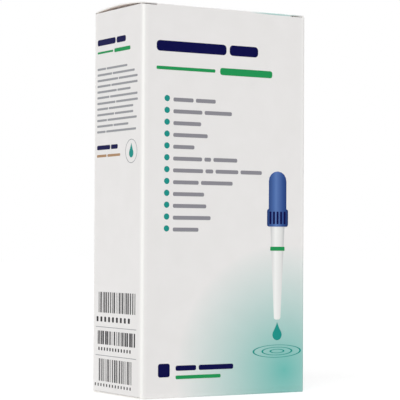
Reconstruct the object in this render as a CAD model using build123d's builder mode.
from build123d import *
import math
import os

# A reverse-tuck folding carton in coated paperboard, standing upright and closed.
# One die-cut sheet makes all of it: the tube of four panels with its glue flap and
# dust flaps is one solid, and the two tuck lids, which swing on their creases, are
# a solid each. Millimetres, +Z up, front panel towards -Y, origin under the middle
# of the base.

# Outside of the closed carton, from crease to crease
width = 75.2
depth = 39.6
height = 151.5

# Paperboard, and the inside radius of its folds
board = 0.45
crease_inner = 0.75

# Tuck lids
lid_side_inset = 0.1
top_lid_crown = 1.1
tuck_length = 15.0
tuck_corner = 8.0
slit_length = 6.5

# Dust flaps, which fold more sharply
dust_crease_inner = 0.05
dust_length = 26.0
dust_taper = 4.0
dust_corner = 4.0
dust_droop = 1.0

# Glue flap and the seam that it closes
glue_width = 12.0
glue_end_inset = 3.0
glue_taper = 15.0
glue_root = 1.0
seam_inset = 0.2

# Clearances between the folded pieces of the closed carton
hinge_gap = 0.1
mouth_gap = 0.4
tuck_clearance = 0.15
dust_lid_gap = 0.1
dust_tuck_gap = 0.3
dust_relief = 0.3

# Folds that follow from the board
crease_mid = crease_inner + board / 2
crease_outer = crease_inner + board
dust_crease_mid = dust_crease_inner + board / 2
dust_crease_outer = dust_crease_inner + board
hinge_bead = board

# Lids that follow from the tube that they close
tuck_outer = depth - hinge_bead - board - tuck_clearance
tuck_mid = tuck_outer - board / 2
tuck_inner = tuck_outer - board
lid_width = width - 2 * lid_side_inset
tuck_width = width - 2 * (2 * board + crease_inner + tuck_clearance)
fold_half = lid_width / 2 - slit_length

# Dust flaps that lie between the hinge crease and the tucked tongue
dust_hinge_edge = crease_outer + dust_relief
dust_tuck_edge = tuck_inner - dust_tuck_gap
dust_crease_start = -dust_lid_gap - dust_crease_outer

# Each end of the tube has a plane across the hinge of its lid: local x runs from the
# hinge to the tuck, and local y runs out of the carton.
top_end = Plane(
    origin=(0, depth / 2 - hinge_bead, height - hinge_bead),
    x_dir=(0, -1, 0),
    z_dir=(-1, 0, 0),
)
bottom_end = Plane(
    origin=(0, hinge_bead - depth / 2, hinge_bead),
    x_dir=(0, 1, 0),
    z_dir=(-1, 0, 0),
)


def lid_path(crown):
    """Middle line of a lid's section, as its span, fold and tongue."""
    span_level = hinge_bead - board / 2
    span_end = math.sqrt(tuck_mid**2 - span_level**2)
    corner_angle = math.degrees(math.asin(span_level / tuck_mid))
    tongue_angle = math.degrees(math.asin((tuck_length + board) / tuck_inner))
    with BuildLine() as path:
        if crown:
            crown_point = (span_end / 2, span_level + crown)
            ThreePointArc((0, span_level), crown_point, (span_end, span_level))
        else:
            Line((0, span_level), (span_end, span_level))
        # The tongue curves about the hinge, so it swings clear of the panel before it.
        CenterArc((0, 0), tuck_mid, corner_angle, -corner_angle - tongue_angle)
        fillet(path.vertices().sort_by(Axis.X)[-1], crease_mid)
    return path.edges().sort_by(Axis.Y, reverse=True)


def tuck_lid(end, crown):
    """A lid with its hinge bead, slit-lock ears, fold and rounded tongue."""
    span, fold, tongue = lid_path(crown)
    tuck_view = Plane(end.origin, x_dir=(1, 0, 0), z_dir=end.x_dir)
    lid_view = Plane(end.origin, x_dir=(1, 0, 0), z_dir=end.y_dir)
    with BuildPart() as lid:
        with BuildSketch(end):
            trace(tongue, line_width=board)
        extrude(amount=tuck_width / 2, both=True)
        with BuildSketch(tuck_view) as outline:
            Rectangle(tuck_width, tuck_length, align=(Align.CENTER, Align.MAX))
            fillet(outline.vertices().sort_by(Axis.Y)[:2], tuck_corner)
        extrude(amount=depth, mode=Mode.INTERSECT)
        with BuildSketch(end):
            trace(fold, line_width=board)
        extrude(amount=fold_half, both=True)
        with BuildSketch(end):
            trace(span, line_width=board)
            Circle(hinge_bead)
        extrude(amount=lid_width / 2, both=True)
        # A slit at each end of the fold leaves a flat ear that runs on from the span.
        for side in (-1, 1):
            with BuildSketch(end.offset(side * fold_half)):
                with BuildLine():
                    Line(span @ 1, span @ 1 + (span % 1) * crease_mid)
                trace(line_width=board)
            extrude(amount=side * slit_length)
        # The corners beside the hinge are rounded as the tube's creases are.
        with BuildSketch(lid_view) as outline:
            with Locations((0, hinge_bead)):
                Rectangle(lid_width, 2 * depth, align=(Align.CENTER, Align.MAX))
            fillet(outline.vertices().sort_by(Axis.Y)[-2:], crease_outer)
        extrude(amount=depth, both=True, mode=Mode.INTERSECT)
    return lid


def dust_flap(end, side):
    """A flap folded in from a side panel, the right one for side 1, the left for -1."""
    inward = Vector(-side, 0, 0)
    root = Vector(side * width / 2, end.origin.Y, end.origin.Z)
    section = Plane(root, x_dir=inward, z_dir=inward.cross(end.y_dir))
    plan = Plane(root, x_dir=end.x_dir, z_dir=end.x_dir.cross(inward))
    with BuildPart() as flap:
        with BuildSketch(section):
            with BuildLine():
                crease_foot = (board / 2, dust_crease_start)
                crease = JernArc(crease_foot, (0, 1), dust_crease_mid, -90 - dust_droop)
                Line(crease @ 1, crease @ 1 + (crease % 1) * dust_length)
            trace(line_width=board)
        extrude(amount=depth, both=True)
        with BuildSketch(plan) as outline:
            with BuildLine():
                Polyline(
                    (dust_hinge_edge, 0),
                    (dust_tuck_edge, 0),
                    (dust_tuck_edge, dust_length),
                    (dust_hinge_edge + dust_taper, dust_length),
                    close=True,
                )
            make_face()
            fillet(outline.vertices().sort_by(Axis.Y)[-2:], dust_corner)
        extrude(amount=dust_length, both=True, mode=Mode.INTERSECT)
    return flap


dust_flaps = [dust_flap(end, side) for end in (top_end, bottom_end) for side in (-1, 1)]

with BuildPart() as carton_body:
    # Four panels round the tube, from the seam edge of the right side panel to the
    # middle of the back panel, and from there to the root of the glue flap.
    right_middle = width / 2 - board / 2
    front_middle = depth / 2 - board / 2
    glue_middle = right_middle - board
    with BuildSketch():
        with BuildLine():
            FilletPolyline(
                (right_middle, depth / 2 - seam_inset),
                (right_middle, -front_middle),
                (-right_middle, -front_middle),
                (-right_middle, front_middle),
                (0, front_middle),
                radius=crease_mid,
            )
        trace(line_width=board)
        with BuildLine():
            FilletPolyline(
                (0, front_middle),
                (glue_middle, front_middle),
                (glue_middle, front_middle - crease_mid - glue_root),
                radius=crease_mid,
            )
        trace(line_width=board)
    extrude(amount=height)
    # Cut edges round each mouth: hinge panel, dust flap creases, tuck panel
    for end in (top_end, bottom_end):
        with BuildSketch(end):
            with BuildLine():
                Polyline(
                    (-depth, -hinge_bead - hinge_gap),
                    (dust_hinge_edge - dust_relief, -hinge_bead - hinge_gap),
                    (dust_hinge_edge - dust_relief, dust_crease_start),
                    (dust_tuck_edge + dust_relief, dust_crease_start),
                    (dust_tuck_edge + dust_relief, -mouth_gap),
                    (2 * depth, -mouth_gap),
                    (2 * depth, depth),
                    (-depth, depth),
                    close=True,
                )
            make_face()
        extrude(amount=width, both=True, mode=Mode.SUBTRACT)
    for flap in dust_flaps:
        add(flap.part)
    # Glue flap, tapered at both ends and stuck to the inside of the right side panel
    glue_plane = Plane(
        origin=(width / 2 - board, front_middle - crease_mid, height / 2),
        x_dir=(0, -1, 0),
        z_dir=(-1, 0, 0),
    )
    glue_root_half = height / 2 - glue_end_inset
    glue_edge_half = glue_root_half - glue_width * math.tan(math.radians(glue_taper))
    with BuildSketch(glue_plane):
        with BuildLine():
            Polyline(
                (0, -glue_root_half),
                (glue_width, -glue_edge_half),
                (glue_width, glue_edge_half),
                (0, glue_root_half),
                close=True,
            )
        make_face()
    extrude(amount=board)

top_lid = tuck_lid(top_end, top_lid_crown)
bottom_lid = tuck_lid(bottom_end, 0)

carton_body.part.label = "carton_body"
top_lid.part.label = "top_lid"
bottom_lid.part.label = "bottom_lid"

os.makedirs("parts", exist_ok=True)
export_step(carton_body.part, "parts/carton_body.step")
export_step(top_lid.part, "parts/top_lid.step")
export_step(bottom_lid.part, "parts/bottom_lid.step")
